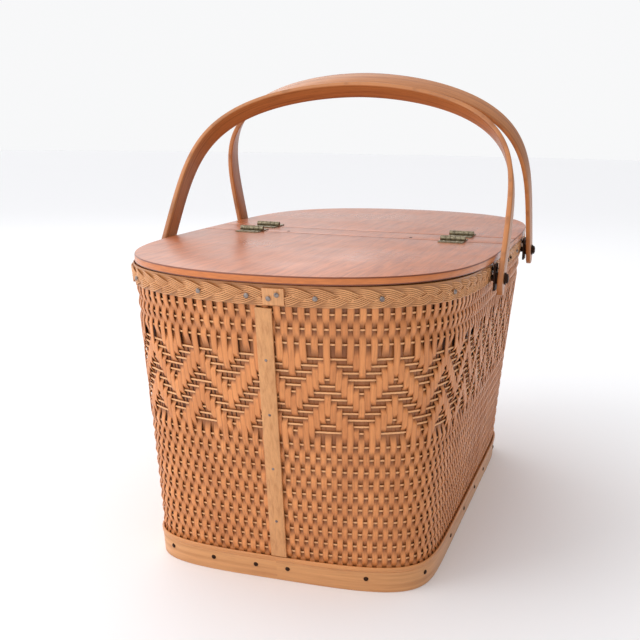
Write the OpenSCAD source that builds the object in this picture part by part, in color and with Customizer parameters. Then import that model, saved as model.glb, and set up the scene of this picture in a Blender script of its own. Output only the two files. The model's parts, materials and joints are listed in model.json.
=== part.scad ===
// Woven picnic basket: a tapered splint wall with a plaited rim, a plywood lid in two
// flaps hinged to a fixed centre bar, and two bentwood swing handles.
// X is across the basket, Y is along it towards the rear flap, Z is up.
// The origin is at the centre of the foot, on the surface that the basket stands on.

/* [Basket] */
// Width over the foot band
foot_w = 230.6; // [190:0.1:270]
// Length over the foot band
foot_l = 411; // [340:1:480]
// Width over the plaited rim
rim_w = 283.6; // [240:0.1:330]
// Length over the plaited rim
rim_l = 536; // [450:1:620]
// Height of the top of the rim hoops
rim_h = 243.2; // [200:0.1:290]
// Squareness of the foot outline across the basket
foot_square_x = 3.77; // [2.5:0.01:5]
// Squareness of the foot outline along the basket
foot_square_y = 12.6; // [5:0.1:14]
// Squareness of the rim outline across the basket
rim_square_x = 2; // [1.9:0.01:3]
// Squareness of the rim outline along the basket
rim_square_y = 5.4; // [4:0.01:7]

/* [Wall and trim] */
// Thickness of the woven wall
wall_t = 3.2; // [2.4:0.1:4]
// Height of the flat foot band
band_h = 17.5; // [14:0.5:24]
// Thickness of the foot band
band_t = 1.4; // [1.2:0.1:4]
// Height of the bead above the foot band
bead_h = 4; // [3:0.1:6]
// Thickness of the bead
bead_t = 2; // [1.6:0.1:4.6]
// Height of the rim hoops
hoop_h = 15.5; // [12:0.5:18]
// Thickness of the outer rim hoop
outer_hoop_t = 0.8; // [0.6:0.1:3]
// Thickness of the inner rim hoop
inner_hoop_t = 3.6; // [3:0.1:6]
// Height of the plaited trim
braid_h = 13; // [11:0.1:13.4]
// Thickness of the plaited trim
braid_t = 2.4; // [2:0.1:5]
// How far the top of the plait lies below the top of the hoops
braid_drop = 2; // [0.5:0.1:3]
// Thickness of the base board
base_t = 8; // [6:0.5:10]
// Clear height under the base board
base_recess = 6; // [4:0.5:8]

/* [Seam] */
// Width of the seam battens
batten_w = 12.4; // [10:0.1:16]
// Thickness of the seam battens
batten_t = 1.8; // [1.2:0.1:2.2]
// Distance of the outer batten from the middle of the front end, at the rim
seam_x_rim = 7.8; // [-12:0.1:12]
// Distance of the outer batten from the middle of the front end, at the foot
seam_x_foot = 2.4; // [-12:0.1:12]
// Width of the folded end of the plait
tab_w = 15; // [13:0.5:18]
// Distance of the folded end's middle from the middle of the front end
tab_at = 15.6; // [8:0.1:18]

/* [Lid] */
// Squareness of the lid outline across the basket
lid_square_x = 2.08; // [2:0.01:3]
// Squareness of the lid outline along the basket
lid_square_y = 4.38; // [3.5:0.01:6]
// Thickness of the lid plywood
lid_t = 6; // [5:0.5:8]
// How far the lid stands out past the plaited rim
lid_overhang = 0.6; // [0:0.1:3]
// Width of the fixed centre bar
bar_w = 42; // [38:0.5:60]
// Gap between the bar and each flap
seam_gap = 1.6; // [1.2:0.1:2]
// Width of the brace under the bar
brace_w = 30; // [26:1:36]
// Depth of the brace under the bar
brace_h = 12; // [8:0.5:14]

/* [Hinges] */
// Length of each hinge along its pin
hinge_l = 22; // [18:0.5:30]
// Distance from the basket's middle plane to the middle of each hinge
hinge_x = 94; // [60:1:110]
// Reach of each hinge leaf from its pin
leaf_reach = 14.5; // [12:0.5:16]
// Thickness of the hinge leaves
leaf_t = 1; // [0.8:0.1:1.4]
// Outside radius of the knuckles
knuckle_r = 2.4; // [2:0.1:3]
// Radius of the hinge pins
hinge_pin_r = 1; // [0.8:0.1:1.2]
// Radius of the hinge screw shanks
screw_r = 0.8; // [0.6:0.1:1]

/* [Handles] */
// Clearance between the lid's ends and a bow that swings past them
bow_clear = 3.7; // [2:0.1:8]
// Squareness of the crown across the basket
bow_square_x = 1.85; // [1.7:0.05:2.4]
// Squareness of the crown up the legs
bow_square_h = 4.9; // [4:0.1:6]
// Thickness of the bent strip
bow_t = 4.2; // [3.4:0.1:4.8]
// Width of the bent strip
bow_w = 19; // [15:0.5:20]
// Distance from the basket's middle to each handle's pivots
pivot_y = 97.5; // [80:0.5:116]
// Height of the handle pivots above the lower edge of the plait
pivot_rise = 3.3; // [1:0.1:4]
// Where the upper edge of the front bow's crown rests, in front of the bar's middle
front_crown = 5.2; // [4:0.1:9]
// Where the upper edge of the rear bow's crown rests, behind the bar's middle
rear_crown = 21.7; // [20:0.1:26]
// Radius of the pivot bolts
bolt_r = 2.5; // [2:0.1:3]
// Thickness of the steel side plates
plate_t = 1.5; // [1:0.1:1.6]
// Width of the steel side plates
plate_w = 15; // [12:0.5:18]
// Thickness of the washers between the plates and the legs
inner_washer_t = 1.8; // [0.5:0.1:2]

/* [Hidden] */

// Clearances
seat_gap = 0.1;     // between pieces of the basket that are fastened together
lid_gap = 0.8;      // between the rim hoops and the lid
move_gap = 0.3;     // between a turning piece and what it turns against
pin_gap = 0.05;     // radial gap round a pin, bolt or screw in its hole

// The wall's outer face lies inside the trim that is fastened to it
foot_inset = seat_gap + band_t;
rim_inset = 2 * seat_gap + outer_hoop_t + braid_t;
wall_foot = [foot_w / 2 - foot_inset, foot_l / 2 - foot_inset];
wall_rim = [rim_w / 2 - rim_inset, rim_l / 2 - rim_inset];

ring_points = 80;   // points round the wall and its trim
lid_points = 144;   // points round the lid
bow_points = 26;    // points up each side of a bow
wall_clear = 1;     // height of the wall's lower edge above the ground

// Heights
base_z = base_recess;
base_top = base_z + base_t;
band_top = band_h;
bead_top = band_top + bead_h;
hoop_z = rim_h - hoop_h;
braid_top = rim_h - braid_drop;
braid_z = braid_top - braid_h;
lid_z = rim_h + lid_gap;
lid_top = lid_z + lid_t;
brace_z = lid_z - brace_h;
wall_levels = concat([wall_clear, band_top, bead_top],
    [for (k = [1:4]) bead_top + (hoop_z - bead_top) * k / 5], [hoop_z, braid_z, rim_h]);

// Offsets from the wall's outer face
hoop_out = seat_gap + outer_hoop_t;
braid_in = hoop_out + seat_gap;
braid_out = braid_in + braid_t;
wall_in = -wall_t;
inner_hoop_in = wall_in - seat_gap - inner_hoop_t;

// Lid
lid_half = [rim_w / 2 + lid_overhang, rim_l / 2 + lid_overhang];
bar_edge = bar_w / 2;
flap_edge = bar_edge + seam_gap;
hinge_y = bar_edge + seam_gap / 2;
hinge_z = lid_top + knuckle_r;
knuckles = 5;
knuckle_l = hinge_l / knuckles;
leaf_inset = 0.7;   // gap between a leaf's near edge and the pin's centre line
screw_reach = leaf_reach - 4;
screw_spread = hinge_l / 2 - 5;
screw_head_r = 1.7;
screw_depth = lid_t - 1;

// Handles
plate_in = rim_w / 2 + seat_gap;
plate_out = plate_in + plate_t;
leg_in = plate_out + inner_washer_t + move_gap;
leg_out = leg_in + bow_t;
pivot_z = braid_z + pivot_rise;
bow_l = norm([lid_half.y - pivot_y, lid_top - pivot_z]) + bow_clear + bow_t;
corner_reach = norm([bow_l, bow_w / 2]);
corner_turn = atan2(bow_w / 2, bow_l);
front_lean = asin((pivot_y - front_crown) / corner_reach) + corner_turn;
rear_lean = asin((pivot_y - rear_crown) / corner_reach) + corner_turn;
washer_r = 4.8;
outer_washer_t = 1;
nut_r = 3.8;
nut_t = 1.6;
bolt_head_t = 1.6;
bolt_end = 0.4;     // how far a pivot bolt stands out of its nut
plate_z = braid_z - 6;
plate_top = rim_h - 0.4;
rivet_z = rim_h - 4.4;
rivet_r = 1.4;
rivet_head_r = 2.2;
rivet_head_t = 0.6;
leg_end = 5;        // how far the round of a leg's end lies below its pivot
bow_end_r = bow_w / 2;

brace_end_gap = 1;  // between the brace's ends and the inner hoop

// Tacks and pins
tack_r = 0.6;
tack_head_r = 1.9;
tack_head_t = 1;
pin_head_r = 1.1;
pin_head_t = 0.5;
foot_tack_z = 11.5;
braid_tack_z = (braid_z + braid_top) / 2;
nail_head_r = 1.5;
// Directions of the tacks round the basket, in degrees of the scaled outline
foot_tack_turns = [245, 261.5, 274.5, 302, 318, 334, 350, 6, 20, 36, 54, 72, 90,
    108, 126, 144, 160, 174, 188, 202, 216, 230];
braid_tack_turns = [229, 253.5, 268.7, 288, 304, 321, 346, 12, 30, 48, 68, 90,
    112, 132, 150, 168, 190, 212];
tab_tacks = [[4.7, -0.4], [10.9, 2.6]];   // along the tab from its left edge, and up from its middle
batten_pin_heights = [54.5, 100, 144.5, 187.5];
inner_batten_gap = 0.6;     // between the wall and the inner batten, which is straight
hoop_bite = 4;      // how far the plait's tacks go into the hoops and the wall
base_bite = 5;      // how far the foot's tacks go into the base board
bar_nail_places = [[-62, -11.5], [54, -11.5]];
brace_nail_y = [-8, 8];

// Outlines ------------------------------------------------------------------

function mix(a, b, u) = a + (b - a) * u;
function side(v) = v < 0 ? -1 : 1;

// Radius factor of a superellipse with exponents n and m in the direction [c, s]
function reach(c, s, n, m, r = 1.42, i = 0) = i == 9 ? r :
    let (p = pow(r * c, n), q = pow(r * s, m))
    reach(c, s, n, m, r - r * (p + q - 1) / (n * p + m * q), i + 1);

// Point of a superellipse with half sizes h, moved outwards by d
function oval(h, n, m, t, d = 0) =
    let (r = reach(abs(cos(t)), abs(sin(t)), n, m),
        x = h.x * r * cos(t), y = h.y * r * sin(t),
        gx = side(x) * n * pow(abs(x) / h.x, n - 1) / h.x,
        gy = side(y) * m * pow(abs(y) / h.y, m - 1) / h.y,
        g = norm([gx, gy]))
    [x + d * gx / g, y + d * gy / g];

// Outlines of the wall's outer face at the ground and at the rim, moved outwards by d
function foot_point(t, d) = oval(wall_foot, foot_square_x, foot_square_y, t, d);
function rim_point(t, d) = oval(wall_rim, rim_square_x, rim_square_y, t, d);

// Point of the wall at height z: its stakes run straight from one outline to the other
function wall_point(z, t, d = 0) = let (u = z / rim_h,
        p = (1 - u) * foot_point(t, d) + u * rim_point(t, d))
    [p.x, p.y, z];

// Direction in which the wall faces there, in degrees about Z
function wall_turn(z, t) = let (v = wall_point(z, t, 1) - wall_point(z, t)) atan2(v.y, v.x);

// Closed ring that follows the wall between two offsets, through the given heights
module wall_ring(levels, d_in, d_out) {
    n = ring_points;
    rows = len(levels);
    function at(j, k) = j * n + k % n;
    points = [for (d = [d_out, d_in]) for (z = levels) for (k = [0:n - 1])
        wall_point(z, 360 * k / n, d)];
    faces = [for (k = [0:n - 1]) each concat(
        [for (j = [0:rows - 2]) each [
            [at(j, k), at(j + 1, k), at(j + 1, k + 1)], [at(j, k), at(j + 1, k + 1), at(j, k + 1)],
            [at(rows + j, k), at(rows + j + 1, k + 1), at(rows + j + 1, k)],
            [at(rows + j, k), at(rows + j, k + 1), at(rows + j + 1, k + 1)]]],
        [[at(0, k), at(0, k + 1), at(rows, k + 1), at(rows, k)],
            [at(rows - 1, k), at(2 * rows - 1, k), at(2 * rows - 1, k + 1), at(rows - 1, k + 1)]])];
    polyhedron(points, faces);
}

module lid_outline() {
    polygon([for (k = [0:lid_points - 1])
        oval(lid_half, lid_square_x, lid_square_y, 360 * k / lid_points)]);
}

// Box between two x places, two y places and two heights
module block(x, y, z) {
    translate([x[0], y[0], z[0]]) cube([x[1] - x[0], y[1] - y[0], z[1] - z[0]]);
}

// Rod along X between two x places
module rod_x(x, y, z, r) {
    translate([x[0], y, z]) rotate([0, 90, 0]) cylinder(h = x[1] - x[0], r = r, $fn = 32);
}

// Round-headed fastener along +Z, its head's flat face at the origin
module tack(head_r, head_t, shank_r, shank_l) {
    rotate_extrude($fn = 32) polygon(concat([[0, -shank_l], [shank_r, -shank_l], [shank_r, 0],
        [head_r, 0]], [for (a = [20:20:80]) [head_r * cos(a), head_t * sin(a)]], [[0, head_t]]));
}

// Fastener driven into the wall's trim from outside, with its head at offset d
module wall_tack(z, t, d, head_r, head_t, shank_l) {
    translate(wall_point(z, t, d)) rotate([0, 0, wall_turn(z, t)]) rotate([0, 90, 0])
        tack(head_r, head_t, tack_r, shank_l);
}

// Basket ----------------------------------------------------------------------

module base_board() {
    color("burlywood") translate([0, 0, base_z]) linear_extrude(base_t)
        polygon([for (k = [0:ring_points - 1]) let (p = wall_point(base_z, 360 * k / ring_points,
            wall_in - 2 * seat_gap)) [p.x, p.y]]);
}

module woven_wall() {
    color([0.79, 0.56, 0.33]) wall_ring(wall_levels, wall_in, 0);
}

module foot_band() {
    color([0.83, 0.6, 0.37]) wall_ring([0, wall_clear, band_top - seat_gap], seat_gap, foot_inset);
}

module foot_bead() {
    color([0.82, 0.55, 0.32]) wall_ring([band_top, bead_top], seat_gap, seat_gap + bead_t);
}

module outer_rim_hoop() {
    color([0.6, 0.38, 0.2]) wall_ring([hoop_z, braid_z, rim_h], seat_gap, hoop_out);
}

module inner_rim_hoop() {
    color([0.7, 0.47, 0.27])
        wall_ring([hoop_z, braid_z, rim_h], inner_hoop_in, wall_in - seat_gap);
}

// The plait's two ends meet at the tab over the seam
tab_x = [tab_at - tab_w / 2, tab_at + tab_w / 2];
tab_inset = 0.4;    // between the tab's edges and the plait's
wall_rise = atan2(wall_rim.y - wall_foot.y, rim_h);
seam_slant = atan2(seam_x_rim - seam_x_foot, rim_h);

module braid_trim() {
    color([0.84, 0.62, 0.38]) difference() {
        wall_ring([braid_z, braid_top], braid_in, braid_out);
        block([tab_x[0] - seat_gap, tab_x[1] + seat_gap], [-rim_l, -rim_l / 4], [0, 2 * rim_h]);
    }
}

// Leans a flat piece against the wall's front end, with its inner face at offset d
module on_front_wall(d, slant) {
    translate([seam_x_foot, -wall_foot.y, 0]) rotate([wall_rise, 0, 0]) rotate([0, slant, 0])
        translate([0, -d, 0]) children();
}

// Strip along the seam between two heights, from offset d outwards by t
module seam_strip(z0, z1, d, t) {
    on_front_wall(d, seam_slant)
        block([-batten_w / 2, batten_w / 2], [-t, 0], [z0 / cos(wall_rise), z1 / cos(wall_rise)]);
}

module braid_end_tab() {
    color([0.86, 0.66, 0.42]) on_front_wall(braid_in, 0)
        block([tab_x[0] - seam_x_foot, tab_x[1] - seam_x_foot], [-braid_t, 0],
            [(braid_z + tab_inset) / cos(wall_rise), (braid_top - tab_inset) / cos(wall_rise)]);
}

module seam_batten() {
    color([0.83, 0.6, 0.36]) seam_strip(bead_top + 1, hoop_z - 1.2, seat_gap, batten_t);
}

module inner_seam_batten() {
    color([0.8, 0.58, 0.36])
        seam_strip(base_top + 2, hoop_z - 2, wall_in - inner_batten_gap - batten_t, batten_t);
}

module batten_pins() {
    color([0.55, 0.5, 0.45]) for (z = batten_pin_heights)
        on_front_wall(seat_gap + batten_t, seam_slant) translate([0, 0, z / cos(wall_rise)])
            rotate([90, 0, 0]) tack(pin_head_r, pin_head_t, tack_r, batten_t + wall_t + batten_t / 2);
}

module braid_tacks() {
    color([0.4, 0.37, 0.36]) {
        for (t = braid_tack_turns)
            wall_tack(braid_tack_z, t, braid_out, tack_head_r, tack_head_t, braid_t + hoop_bite);
        for (p = tab_tacks)
            on_front_wall(braid_out, 0) translate([tab_x[0] - seam_x_foot + p.x, 0,
                (braid_tack_z + p.y) / cos(wall_rise)]) rotate([90, 0, 0])
                tack(tack_head_r, tack_head_t, tack_r, braid_t + hoop_bite);
    }
}

module foot_tacks() {
    color([0.35, 0.3, 0.28]) for (t = foot_tack_turns)
        wall_tack(foot_tack_z, t, foot_inset, tack_head_r, tack_head_t, band_t + wall_t + base_bite);
}

// Lid ---------------------------------------------------------------------------

module centre_bar() {
    color([0.8, 0.5, 0.36]) translate([0, 0, lid_z]) linear_extrude(lid_t) intersection() {
        lid_outline();
        square([2 * rim_w, 2 * bar_edge], center = true);
    }
}

module cross_brace() {
    end_x = wall_point(brace_z, 0, inner_hoop_in - seat_gap).x - brace_end_gap;
    color([0.72, 0.5, 0.32])
        block([-end_x, end_x], [-brace_w / 2, brace_w / 2], [brace_z, lid_z]);
}

module bar_nails() {
    color([0.25, 0.2, 0.18]) for (p = bar_nail_places)
        translate([p.x, p.y, lid_top]) tack(nail_head_r, pin_head_t, tack_r, lid_t + brace_h / 2);
}

module brace_nails() {
    color([0.35, 0.3, 0.28]) for (s = [-1, 1]) for (y = brace_nail_y)
        translate([s * wall_point(braid_tack_z, 0, braid_out).x, y, braid_tack_z])
            rotate([0, s * 90, 0]) tack(tack_head_r, tack_head_t, tack_r, 2 * hoop_h);
}

// One flap, drawn on the front side; s = -1 is the front and s = 1 the rear
module flap_board(s) {
    translate([0, 0, lid_z]) linear_extrude(lid_t) intersection() {
        lid_outline();
        translate([-rim_w, s > 0 ? flap_edge : -flap_edge - rim_l]) square([2 * rim_w, rim_l]);
    }
}

module front_flap_board() {
    color([0.82, 0.5, 0.37]) flap_board(-1);
}

module rear_flap_board() {
    color([0.82, 0.5, 0.37]) flap_board(1);
}

// Hinges -------------------------------------------------------------------------

// Runs of the knuckles that belong to the bar (0, 2, 4) or to the flap (1, 3)
function knuckle_run(x0, k) = [x0 + k * knuckle_l + (k > 0 ? move_gap / 2 : 0),
    x0 + (k + 1) * knuckle_l - (k < knuckles - 1 ? move_gap / 2 : 0)];

// A hinge leaf: sx is the hinge's side, sy the seam's side, and its knuckles are listed.
// The leaf lies towards the bar for out = -1 and towards the flap for out = 1.
module hinge_leaf(sx, sy, out, which) {
    x0 = sx * hinge_x - hinge_l / 2;
    near = sy * (hinge_y + out * leaf_inset);
    far = sy * (hinge_y + out * leaf_reach);
    foot = sy * (hinge_y + out * (knuckle_r + move_gap));
    flat_x = [x0 + 0.2, x0 + hinge_l - 0.2];
    difference() {
        union() {
            block(flat_x, [min(foot, far), max(foot, far)], [lid_top, lid_top + leaf_t]);
            for (k = which) {
                run = knuckle_run(x0, k);
                rod_x(run, sy * hinge_y, hinge_z, knuckle_r);
                block(run, [min(near, foot), max(near, foot)], [lid_top, lid_top + leaf_t]);
            }
        }
        rod_x([x0 - 1, x0 + hinge_l + 1], sy * hinge_y, hinge_z, hinge_pin_r + pin_gap);
        for (d = [-1, 1])
            translate([sx * hinge_x + d * screw_spread, sy * (hinge_y + out * screw_reach), lid_top - 1])
                cylinder(h = leaf_t + 2, r = screw_r + pin_gap, $fn = 32);
    }
}

module bar_leaf(sx, sy) {
    color([0.55, 0.5, 0.38]) hinge_leaf(sx, sy, -1, [0, 2, 4]);
}

module flap_leaf(sx, sy) {
    color([0.55, 0.5, 0.38]) hinge_leaf(sx, sy, 1, [1, 3]);
}

module hinge_pin(sx, sy) {
    x0 = sx * hinge_x - hinge_l / 2;
    color([0.6, 0.56, 0.45]) rod_x([x0 - 0.4, x0 + hinge_l + 0.4], sy * hinge_y, hinge_z, hinge_pin_r);
}

// The screws of the two leaves on one side of a seam
module leaf_screws(sy, out) {
    color([0.5, 0.46, 0.36]) for (sx = [-1, 1]) for (d = [-1, 1])
        translate([sx * hinge_x + d * screw_spread, sy * (hinge_y + out * screw_reach),
            lid_top + leaf_t]) tack(screw_head_r, 0.7, screw_r, leaf_t + screw_depth);
}

// Handles -------------------------------------------------------------------------

module side_plate(sx, sy) {
    x = sx > 0 ? [plate_in, plate_out] : [-plate_out, -plate_in];
    y = sy * pivot_y;
    color([0.3, 0.27, 0.25]) difference() {
        block(x, [y - plate_w / 2, y + plate_w / 2], [plate_z, plate_top]);
        rod_x([x[0] - 1, x[1] + 1], y, pivot_z, bolt_r + pin_gap);
        rod_x([x[0] - 1, x[1] + 1], y, rivet_z, rivet_r + pin_gap);
    }
}

module at_pivots() {
    for (sx = [-1, 1]) for (sy = [-1, 1]) translate([0, sy * pivot_y, 0])
        mirror([sx < 0 ? 1 : 0, 0, 0]) children();
}

module plate_rivets() {
    color([0.35, 0.32, 0.3]) at_pivots() translate([plate_out, 0, rivet_z]) rotate([0, 90, 0])
        tack(rivet_head_r, rivet_head_t, rivet_r, plate_t + braid_t + outer_hoop_t + wall_t);
}

// Face of the pivot bolts' heads, clear of the inner rim hoop
bolt_in = wall_point(pivot_z, asin((pivot_y + nut_r) / wall_rim.y), inner_hoop_in).x - 0.2;
washer_x = [leg_out + move_gap, leg_out + move_gap + outer_washer_t];
nut_x = [washer_x[1], washer_x[1] + nut_t];

module pivot_bolts() {
    color([0.32, 0.3, 0.28]) at_pivots() {
        rod_x([bolt_in, nut_x[1] + bolt_end], 0, pivot_z, bolt_r);
        rod_x([bolt_in - bolt_head_t, bolt_in], 0, pivot_z, nut_r);
    }
}

module washer(x) {
    difference() {
        rod_x(x, 0, pivot_z, washer_r);
        rod_x([x[0] - 1, x[1] + 1], 0, pivot_z, bolt_r + pin_gap);
    }
}

module inner_washers() {
    color([0.5, 0.48, 0.46]) at_pivots() washer([plate_out, leg_in - move_gap]);
}

module outer_washers() {
    color([0.4, 0.38, 0.36]) at_pivots() washer(washer_x);
}

module pivot_nuts() {
    color([0.28, 0.26, 0.24]) at_pivots() difference() {
        translate([nut_x[0], 0, pivot_z]) rotate([0, 90, 0]) cylinder(h = nut_t, r = nut_r, $fn = 6);
        rod_x([nut_x[0] - 1, nut_x[1] + 1], 0, pivot_z, bolt_r + pin_gap);
    }
}

// Outside of a bow at the share v of its rise, from the pivot height (0) to the crown (1)
function bow_edge(v) = let (h = bow_l * sin(90 * v))
    [leg_out * pow(max(0, 1 - pow(h / bow_l, bow_square_h)), 1 / bow_square_x), h];

// The same point moved inwards by the strip's thickness
function bow_inner(v) = let (p = bow_edge(v),
        gx = bow_square_x * pow(p.x / leg_out, bow_square_x - 1) / leg_out,
        gh = bow_square_h * pow(p.y / bow_l, bow_square_h - 1) / bow_l, g = norm([gx, gh]))
    [p.x - bow_t * gx / g, p.y - bow_t * gh / g];

module bow_outline() {
    outer = [for (k = [0:bow_points]) bow_edge(k / bow_points)];
    inner = [for (k = [0:bow_points]) bow_inner(k / bow_points)];
    half = concat([[leg_in, -leg_end], [leg_out, -leg_end]], outer,
        [for (k = [bow_points:-1:0]) inner[k]]);
    for (s = [0, 1]) mirror([s, 0]) polygon(half);
}

// A bow standing upright on its pivot axis
module upright_bow() {
    difference() {
        union() {
            translate([0, bow_w / 2, 0]) rotate([90, 0, 0]) linear_extrude(bow_w) bow_outline();
            for (s = [0, 1]) mirror([s, 0, 0]) rod_x([leg_in, leg_out], 0, -leg_end, bow_end_r);
        }
        for (s = [0, 1]) mirror([s, 0, 0])
            rod_x([leg_in - 1, leg_out + 1], 0, 0, bolt_r + pin_gap);
    }
}

module front_handle_bow() {
    color([0.72, 0.42, 0.2]) translate([0, -pivot_y, pivot_z]) rotate([-front_lean, 0, 0])
        upright_bow();
}

module rear_handle_bow() {
    color([0.72, 0.42, 0.2]) translate([0, pivot_y, pivot_z]) rotate([rear_lean, 0, 0])
        upright_bow();
}

base_board();
woven_wall();
foot_band();
foot_bead();
outer_rim_hoop();
inner_rim_hoop();
braid_trim();
braid_end_tab();
seam_batten();
inner_seam_batten();
batten_pins();
braid_tacks();
foot_tacks();
centre_bar();
cross_brace();
bar_nails();
brace_nails();
front_flap_board();
rear_flap_board();
bar_leaf(-1, -1);  // bar_leaf_front_left
bar_leaf(1, -1);  // bar_leaf_front_right
bar_leaf(-1, 1);  // bar_leaf_rear_left
bar_leaf(1, 1);  // bar_leaf_rear_right
flap_leaf(-1, -1);  // flap_leaf_front_left
flap_leaf(1, -1);  // flap_leaf_front_right
flap_leaf(-1, 1);  // flap_leaf_rear_left
flap_leaf(1, 1);  // flap_leaf_rear_right
hinge_pin(-1, -1);  // hinge_pin_front_left
hinge_pin(1, -1);  // hinge_pin_front_right
hinge_pin(-1, 1);  // hinge_pin_rear_left
hinge_pin(1, 1);  // hinge_pin_rear_right
union() { leaf_screws(-1, -1); leaf_screws(1, -1); }  // bar_leaf_screws
leaf_screws(-1, 1);  // front_leaf_screws
leaf_screws(1, 1);  // rear_leaf_screws
side_plate(-1, -1);  // plate_front_left
side_plate(1, -1);  // plate_front_right
side_plate(-1, 1);  // plate_rear_left
side_plate(1, 1);  // plate_rear_right
plate_rivets();
pivot_bolts();
inner_washers();
outer_washers();
pivot_nuts();
front_handle_bow();
rear_handle_bow();
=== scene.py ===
import json
from math import asin, atan2, cos, hypot, pi, radians, sin

import bmesh
import bpy
import numpy as np
from mathutils import Matrix, Vector


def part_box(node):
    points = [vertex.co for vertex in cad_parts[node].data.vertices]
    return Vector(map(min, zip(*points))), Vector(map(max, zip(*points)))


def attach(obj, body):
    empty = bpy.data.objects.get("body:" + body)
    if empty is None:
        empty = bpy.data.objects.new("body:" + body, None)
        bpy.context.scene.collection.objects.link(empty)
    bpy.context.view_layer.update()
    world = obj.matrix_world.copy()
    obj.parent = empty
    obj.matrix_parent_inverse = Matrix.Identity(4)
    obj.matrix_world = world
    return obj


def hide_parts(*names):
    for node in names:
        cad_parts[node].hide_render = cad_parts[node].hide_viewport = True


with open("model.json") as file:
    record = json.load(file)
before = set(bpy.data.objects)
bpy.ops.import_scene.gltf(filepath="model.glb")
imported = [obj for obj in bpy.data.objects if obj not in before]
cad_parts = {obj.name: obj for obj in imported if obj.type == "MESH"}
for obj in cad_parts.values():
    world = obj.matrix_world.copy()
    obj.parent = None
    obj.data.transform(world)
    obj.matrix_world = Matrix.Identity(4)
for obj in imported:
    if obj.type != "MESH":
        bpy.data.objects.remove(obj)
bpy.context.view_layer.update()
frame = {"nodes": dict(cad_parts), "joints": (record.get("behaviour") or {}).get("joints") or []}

bl_info = {
    "name": "Splint Picnic Basket",
    "version": (1, 0, 0),
    "blender": (4, 5, 0),
    "location": "3D View > Sidebar > Basket",
    "description": "Weaves a picnic basket round its frame and finishes its lid, handles and metalwork",
    "category": "Add Mesh",
}

MM = 0.001


def tint(red, green, blue):
    """A display colour from 0 to 255 as the linear colour that shaders take."""
    shares = (value / 255 for value in (red, green, blue))
    return tuple(v / 12.92 if v < 0.04045 else ((v + 0.055) / 1.055) ** 2.4 for v in shares)


# The wall that the weave and the trim follow ------------------------------------------

FOOT_INSET = 1.5 * MM  # from the foot band's face to the wall's
FOOT_SQUARENESS = (3.77, 12.6)
RIM_SQUARENESS = (2, 5.4)
SEAM_TURN = -pi / 2  # the seam is in the middle of the front end

RIM_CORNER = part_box("woven_wall")[1]
RIM_HEIGHT = RIM_CORNER.z
BAND_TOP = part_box("foot_band")[1].z
BEAD_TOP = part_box("foot_bead")[1].z
HOOP_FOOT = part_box("outer_rim_hoop")[0].z
BRAID_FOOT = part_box("braid_trim")[0].z
BRAID_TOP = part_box("braid_trim")[1].z
LID_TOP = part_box("centre_bar")[1].z


def foot_half():
    """Half sizes of the wall's outer face at the ground, from those at the band's top and at the rim."""
    share = BAND_TOP / RIM_HEIGHT
    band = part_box("foot_band")[1]
    return [(b - FOOT_INSET - share * r) / (1 - share) for b, r in zip(band.xy, RIM_CORNER.xy)]


def oval(half, squareness, turns):
    """Points and outward normals of a superellipse in the given directions of its scaled outline."""
    along, across = np.cos(turns), np.sin(turns)
    n, m = squareness
    reach = np.full_like(turns, 1.42)
    for _ in range(12):
        p = (reach * np.abs(along)) ** n
        q = (reach * np.abs(across)) ** m
        reach = reach - reach * (p + q - 1) / (n * p + m * q)
    point = np.stack([half[0] * reach * along, half[1] * reach * across], 1)
    fall = [
        np.sign(along) * n * (reach * np.abs(along)) ** (n - 1) / half[0],
        np.sign(across) * m * (reach * np.abs(across)) ** (m - 1) / half[1],
    ]
    normal = np.stack(fall, 1)
    return point, normal / np.linalg.norm(normal, axis=1, keepdims=True)


TURNS = np.linspace(SEAM_TURN, SEAM_TURN + 2 * pi, 7201)
FOOT_LINE, FOOT_NORMAL = oval(foot_half(), FOOT_SQUARENESS, TURNS)
RIM_LINE, RIM_NORMAL = oval(RIM_CORNER.xy, RIM_SQUARENESS, TURNS)
MIDDLE_LINE = (FOOT_LINE + RIM_LINE) / 2
STEPS = np.linalg.norm(np.diff(MIDDLE_LINE, axis=0), axis=1)
ALONG = np.concatenate([[0], np.cumsum(STEPS)])
GIRTH = float(ALONG[-1])


def round_the_wall(flat):
    """Bends flat points (along the girth from the seam, up, outwards) round the basket."""
    along = np.mod(flat[:, 0], GIRTH)
    rise = flat[:, 1:2] / RIM_HEIGHT
    out = flat[:, 2:3]

    def read(line):
        return np.stack([np.interp(along, ALONG, line[:, k]) for k in (0, 1)], 1)

    foot = read(FOOT_LINE) + out * read(FOOT_NORMAL)
    rim = read(RIM_LINE) + out * read(RIM_NORMAL)
    return np.concatenate([(1 - rise) * foot + rise * rim, flat[:, 1:2]], 1)


def along_at(x, height):
    """Distance along the girth of the place x on the front end at a height."""
    spans = np.linspace(-0.08, 0.08, 161)
    points = round_the_wall(np.stack([spans, np.full(161, height), np.zeros(161)], 1))
    return float(np.interp(x, points[:, 0], spans))


# Meshes -----------------------------------------------------------------------------------


def bend(bm, way):
    """Moves a bmesh's vertices by a function of all their places."""
    places = np.array([v.co[:] for v in bm.verts])
    for vertex, place in zip(bm.verts, way(places)):
        vertex.co = place


def grain_map(bm, way):
    """Gives the faces a UV map of the flat pattern, so that grain follows the piece when it is bent."""
    layer = bm.loops.layers.uv.new("grain")
    for face in bm.faces:
        for loop in face.loops:
            loop[layer].uv = way(loop.vert.co)


def vertex_map(bm, name, values):
    """Gives the faces a UV map of one pair of values for each vertex."""
    layer = bm.loops.layers.uv.new(name)
    bm.verts.index_update()
    for face in bm.faces:
        for loop in face.loops:
            loop[layer].uv = values[loop.vert.index]


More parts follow.
